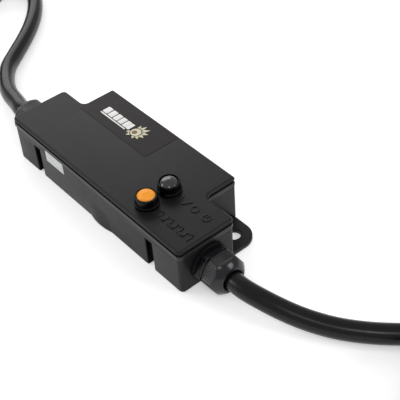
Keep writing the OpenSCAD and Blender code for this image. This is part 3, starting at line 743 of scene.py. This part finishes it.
for side, hand in ((1, "right"), (-1, "left")):
    at = (0, GLAND[0], GLAND[1])
    place(lathe(f"{hand}_washer_ring", [(r, side * x) for r, x in WASHER], at, "x",
                closed=True),
          CASE, M_SEAL_AND_SEAM_SHADE, f"{hand}_gland_washer", slot="seal_rubber")
    xs = [HEX_FROM, 81.75] + frange(81.9, 86.8, 12) + [86.95, HEX_TO]
    place(polar(f"{hand}_gland_hex", xs, hex_body, side, HEX_BORE), CASE, M_GLAND,
          slot="gland_nylon")
    xs = [NUT_FROM, 87.55] + frange(87.7, 94.8, 24) + frange(95.0, 99.2, 18)[1:] + [99.45]
    place(polar(f"{hand}_nut_shell", xs, nut_body, side, NUT_BORE), CASE, M_GLAND,
          f"{hand}_dome_nut", slot="gland_nylon")
    place(lathe(f"{hand}_seal_lip", [(r, side * x) for r, x in SEAL_LIP], at, "x",
                closed=True),
          CASE, M_SEAL_AND_SEAM_SHADE, slot="seal_rubber")

# ---- Cables -----------------------------------------------------------------

CABLE_D = 11.5
ROUTE_RIGHT = [
    (101, -11.25, 12.2), (105, -11.25, 12.2), (110, -10.7, 12), (118, -8.8, 11.3),
    (128, -5.3, 9.6), (138, -0.8, 7.7), (147.5, 4.3, 6.4), (157, 10.2, 5.8),
    (168.5, 19, 5.75), (179.5, 29.5, 5.75), (190, 41, 5.75), (200, 53.5, 5.75),
    (209, 64, 5.75), (217.6, 74.4, 5.75)]
ROUTE_LEFT = [
    (-101, -11.25, 12.2), (-105, -11.25, 12.2), (-114, -9.2, 11), (-131, -5.5, 9),
    (-146.5, 1.5, 7), (-160.5, 11.5, 5.8), (-171.5, 25, 5.75), (-182, 38.5, 5.75),
    (-193.5, 51.5, 5.75), (-206.5, 63.5, 5.75), (-221.5, 73.8, 5.75), (-238.5, 81.5, 5.75),
    (-257, 87, 5.75), (-277.5, 91, 5.75), (-301, 95.3, 5.75)]
# Coil: two radii, three layers and the height at which the cable enters its plug.
R_OUT, R_IN, Z_LOW, Z_MID, Z_HIGH, Z_PLUG = 61.25, 49.75, 5.75, 17.25, 28.75, 33.0
TAIL_R, TAIL_STEPS = 46.0, 24
# Degrees wound before each move: inwards, up one layer, outwards; then the whole winding.
MOVE_IN, MOVE_UP, MOVE_OUT, WOUND = 240, 510, 750, 1140
EASE_R, EASE_Z = 120, 90          # degrees that a move takes
TURN_STEP = 3.0


def ease(t):
    """A smooth step from 0 to 1."""
    t = max(0.0, min(1.0, t))
    return t * t * (3 - 2 * t)


def coil_line(centre, entry, way, extra, climb):
    """Four wound passes, the climb on to the top, and the arc into the plug."""
    cx, cy = centre
    end = WOUND + extra
    pts = []
    for k in range(1, math.ceil(end / TURN_STEP) + 1):
        f = min(k * TURN_STEP, end)
        inwards = ease((f - MOVE_IN) / EASE_R) - ease((f - MOVE_OUT) / EASE_R)
        r = R_OUT + (R_IN - R_OUT) * inwards
        z = Z_LOW + (Z_MID - Z_LOW) * ease((f - MOVE_UP) / EASE_Z)
        z += (Z_HIGH - Z_MID) * ease((f - climb) / EASE_Z)
        a = math.radians(entry + way * f)
        pts.append((cx + r * math.cos(a), cy + r * math.sin(a), z))
    start = entry + way * end
    k = R_OUT - TAIL_R
    ax = cx + k * math.cos(math.radians(start))
    ay = cy + k * math.sin(math.radians(start))
    for s in range(1, TAIL_STEPS + 1):
        t = s / TAIL_STEPS
        a = math.radians(start + way * 90 * t)
        pts.append((ax + TAIL_R * math.cos(a), ay + TAIL_R * math.sin(a),
                    Z_HIGH + (Z_PLUG - Z_HIGH) * ease(t)))
    return pts, start + way * 180


def through(points, step=3.0):
    """A smooth line through the route's points (centripetal Catmull-Rom)."""
    p = [Vector(q) for q in points]
    p = [p[0] * 2 - p[1]] + p + [p[-1] * 2 - p[-2]]
    out = []
    for k in range(1, len(p) - 2):
        a, b, c, d = p[k - 1], p[k], p[k + 1], p[k + 2]
        t = [0.0]
        for u, v in ((a, b), (b, c), (c, d)):
            t.append(t[-1] + max((v - u).length, 1e-6) ** 0.5)
        n = max(2, int((c - b).length / step))
        for j in range(n):
            x = t[1] + (t[2] - t[1]) * j / n
            a1 = a * ((t[1] - x) / (t[1] - t[0])) + b * ((x - t[0]) / (t[1] - t[0]))
            a2 = b * ((t[2] - x) / (t[2] - t[1])) + c * ((x - t[1]) / (t[2] - t[1]))
            a3 = c * ((t[3] - x) / (t[3] - t[2])) + d * ((x - t[2]) / (t[3] - t[2]))
            b1 = a1 * ((t[2] - x) / (t[2] - t[0])) + a2 * ((x - t[0]) / (t[2] - t[0]))
            b2 = a2 * ((t[3] - x) / (t[3] - t[1])) + a3 * ((x - t[1]) / (t[3] - t[1]))
            out.append(b1 * ((t[2] - x) / (t[2] - t[1])) + b2 * ((x - t[1]) / (t[2] - t[1])))
    out.append(p[-2])
    return out


def cable(name, route, centre, entry, way, extra, climb):
    """One cable from its gland to its plug, with the plug's place and heading."""
    wound, heading = coil_line(centre, entry, way, extra, climb)
    line = through(route) + [Vector(q) for q in wound]
    curve = bpy.data.curves.new(name, "CURVE")
    curve.dimensions = "3D"
    spline = curve.splines.new("POLY")
    spline.points.add(len(line) - 1)
    for q, pt in zip(line, spline.points):
        pt.co = (*(q * MM), 1)
    spline.use_smooth = True
    curve.bevel_depth = CABLE_D / 2 * MM
    curve.bevel_resolution = 7
    curve.use_fill_caps = True
    curve.twist_mode = "Z_UP"
    obj = bpy.data.objects.new(name, curve)
    scene.collection.objects.link(obj)
    return obj, line[-1], heading


def plug(name, at, heading):
    """A sealed round in-line connector: ribbed backshell, knurled ring, open mouth."""
    n, knurls, knurl_depth = 240, 30, 0.35
    outer = [(5.9, -0.5), (6.9, 0.0), (7.15, 0.4), (7.2, 1.0)]
    for k in range(4):
        x = 1.6 + k * 2.6
        outer += [(7.2, x), (6.6, x + 0.35), (6.55, x + 1.1), (7.2, x + 1.5)]
    outer += [(7.25, 12.2), (8.4, 13.6), (8.8, 14.6), (8.8, 33.6), (8.6, 34.2), (8.3, 34.5),
              (8.3, 35.2)]
    ringed = [(9.6, 35.3), (9.95, 35.8), (9.95, 36.4), (9.95, 44.5), (9.95, 51.6),
              (9.8, 52.3), (9.5, 52.6)]
    nose = [(8.4, 52.7), (8.4, 59.0), (8.25, 59.7), (7.9, 60.0), (7.5, 60.0), (7.25, 59.7),
            (7.2, 59.2), (7.2, 46.0)]
    loops = []
    for r, x in outer + ringed + nose:
        knurled = 36.3 < x < 51.7 and r > 9.9
        loop = []
        for j in range(n):
            a = 2 * math.pi * j / n
            rr = r - (knurl_depth * (0.5 - 0.5 * math.cos(knurls * a)) if knurled else 0)
            loop.append((x, rr * math.cos(a), rr * math.sin(a)))
        loops.append(loop)
    c, s = math.cos(math.radians(heading)), math.sin(math.radians(heading))
    moved = [[(at[0] + c * x - s * y, at[1] + s * x + c * y, at[2] + z) for x, y, z in loop]
             for loop in loops]
    return loft(name, moved, False, True)


def tie(name, centre, turn_deg):
    """A cable tie pulled tight round the bundle, with its square head on top."""
    t, wide = 1.1, 4.6
    r0, r1, top, soft = 44.0, 67.0, 23.0, 2.6
    path = []
    for cx, cz, a in ((r1 - soft, top - soft, 0), (r0 + soft, top - soft, 90),
                      (r0 + soft, soft, 180), (r1 - soft, soft, 270)):
        path += [(px, pz, a + 90 * k / 5) for k, (px, pz) in
                 enumerate(arc(cx, cz, soft, a, a + 90, 5))]
    c, s = math.cos(math.radians(turn_deg)), math.sin(math.radians(turn_deg))
    loops = []
    for px, pz, a in path:
        nx, nz = math.cos(math.radians(a)), math.sin(math.radians(a))
        loop = []
        for v, u in ((-wide / 2, 0), (-wide / 2, t * 0.8), (-wide / 2 + 0.3, t),
                     (wide / 2 - 0.3, t), (wide / 2, t * 0.8), (wide / 2, 0)):
            lx, lz = px + nx * u, max(pz + nz * u, 0.02)
            loop.append((centre[0] + c * lx - s * v, centre[1] + s * lx + c * v, lz))
        loops.append(loop)
    loops.append(loops[0])
    strap = loft(name, loops, False, False)
    hx, hz = 60.0, top + 0.9
    head = []
    for cut, h in ((0.5, 0), (0, 0.3), (0, 3.2), (0.3, 3.6), (0.9, 3.8)):
        hw, hh = 3.0 - cut, 3.7 - cut
        loop = []
        for sx, sy, a in ((1, -1, -90), (1, 1, 0), (-1, 1, 90), (-1, -1, 180)):
            loop += arc(hx + sx * (hw - 0.6), sy * (hh - 0.6), 0.6, a, a + 90, 3)
        head.append([(centre[0] + c * x - s * y, centre[1] + s * x + c * y, hz + h)
                     for x, y in loop])
    return strap, loft(name + "_head", head)


# hand, route, coil centre, entry angle, way round, degrees past the winding, degrees wound
# before the climb to the top, angle of the tie, length in metres
CABLES = (("right", ROUTE_RIGHT, (264.5, 35), 140, -1, 130, 1080, 241, 1.48),
          ("left", ROUTE_LEFT, (-311.5, 35), 80, 1, 65, 1050, 20, 1.50))
for hand, route, centre, entry, way, extra, climb, knot, length in CABLES:
    cord, end, heading = cable(f"{hand}_cord", route, centre, entry, way, extra, climb)
    shell = place(plug(f"{hand}_plug_body", end, heading), CASE, M_PLUG,
                  f"{hand}_plug_shell", slot="plug_plastic")
    strap, block = tie(f"{hand}_tie_strap", centre, knot)
    place(strap, CASE, M_TIE, f"{hand}_cable_tie", slot="tie_nylon")
    place(block, CASE, M_TIE, slot="tie_nylon")
    place(cord, CASE, M_JACKET, f"{hand}_cable", f"{hand}_cable_coil", f"{hand}_cable_tail",
          slot="cable_jacket")

# ---- CAD nodes that stay ----------------------------------------------------

KEPT = {
    # lid_gasket: its black rubber also stands as the painted shade in the seam under the lid.
    "lid_gasket": M_SEAL_AND_SEAM_SHADE, "lid_screws": M_STEEL, "pcb": M_BOARD, "pcb_screws": M_STEEL,
    "microcontroller": M_CHIP, "mosfets": M_CHIP, "capacitors": M_CAN,
    "terminal_block_left": M_GREEN, "terminal_block_right": M_GREEN,
    "switch_header": M_CREAM, "left_leads": M_RED, "right_leads": M_RED,
    "switch_leads": M_YELLOW, "decal": M_FILM, "side_label": M_LABEL}
PER_BUTTON = {"switch_body": M_BEZEL, "contact_bridge": M_BRASS, "spring": M_STEEL,
              "panel_nut": M_STEEL, "seal_washer": M_SEAL_AND_SEAM_SHADE, "terminals": M_BRASS}
PER_END = {"gland_body": M_GLAND, "lock_nut": M_GLAND, "seal_insert": M_SEAL_AND_SEAM_SHADE,
           "jacket_end": M_JACKET, "plug_pins": M_BRASS}
for colour, cap_material in (("amber", M_AMBER), ("black", M_BLACKCAP)):
    KEPT.update({f"{colour}_{part}": material for part, material in PER_BUTTON.items()})
    KEPT[f"{colour}_cap"] = cap_material
for hand in ("left", "right"):
    KEPT.update({f"{hand}_{part}": material for part, material in PER_END.items()})
for name, material in KEPT.items():
    node = NODES[name]
    node.data.materials.clear()
    node.data.materials.append(material)

# ---- Floor and light --------------------------------------------------------

FLOOR_GLOW = 0.40     # a lit tabletop: keeps the pale floor nearly free of shadow
ROOM = 0.55           # even light from the room
FLOOR_M, FLOOR_DROP_M = 12, 0.0004
WHITE = (1, 1, 1, 1)
floor_shader = Shader("floor_pale", (0.92, 0.92, 0.92), 0.9, spec=0.1)
floor_shader.tint(floor_shader.noise(6, 2), 0.01)
floor_shader.bsdf.inputs["Emission Color"].default_value = WHITE
floor_shader.bsdf.inputs["Emission Strength"].default_value = FLOOR_GLOW
bpy.ops.mesh.primitive_plane_add(size=FLOOR_M, location=(0, 0, -FLOOR_DROP_M))
floor = bpy.context.object
floor.name = "floor"
floor.data.materials.append(floor_shader.m)

world = bpy.data.worlds.new("studio")
world.use_nodes = True
background = world.node_tree.nodes["Background"]
background.inputs["Color"].default_value = WHITE
background.inputs["Strength"].default_value = ROOM
scene.world = world


def lamp(name, at, size, watts):
    """A soft rectangular light that faces the object."""
    data = bpy.data.lights.new(name, "AREA")
    data.shape = "RECTANGLE"
    data.size, data.size_y = size
    data.energy = watts
    obj = bpy.data.objects.new(name, data)
    scene.collection.objects.link(obj)
    obj.location = at
    obj.rotation_euler = (-Vector(at)).to_track_quat("-Z", "Y").to_euler()


lamp("far_left", (-1.2, 0.5, 0.72), (1.1, 0.9), 5.6)
lamp("near_left", (-0.85, -0.9, 0.7), (0.6, 0.6), 4.5)
lamp("near_right", (0.7, -0.5, 1.25), (0.3, 0.3), 2.2)
lamp("far_right", (0.95, 0.6, 0.78), (0.5, 0.5), 4.0)

scene.view_settings.view_transform = "Standard"
scene.view_settings.look = "None"
scene.view_settings.exposure = 0
scene.view_settings.gamma = 1
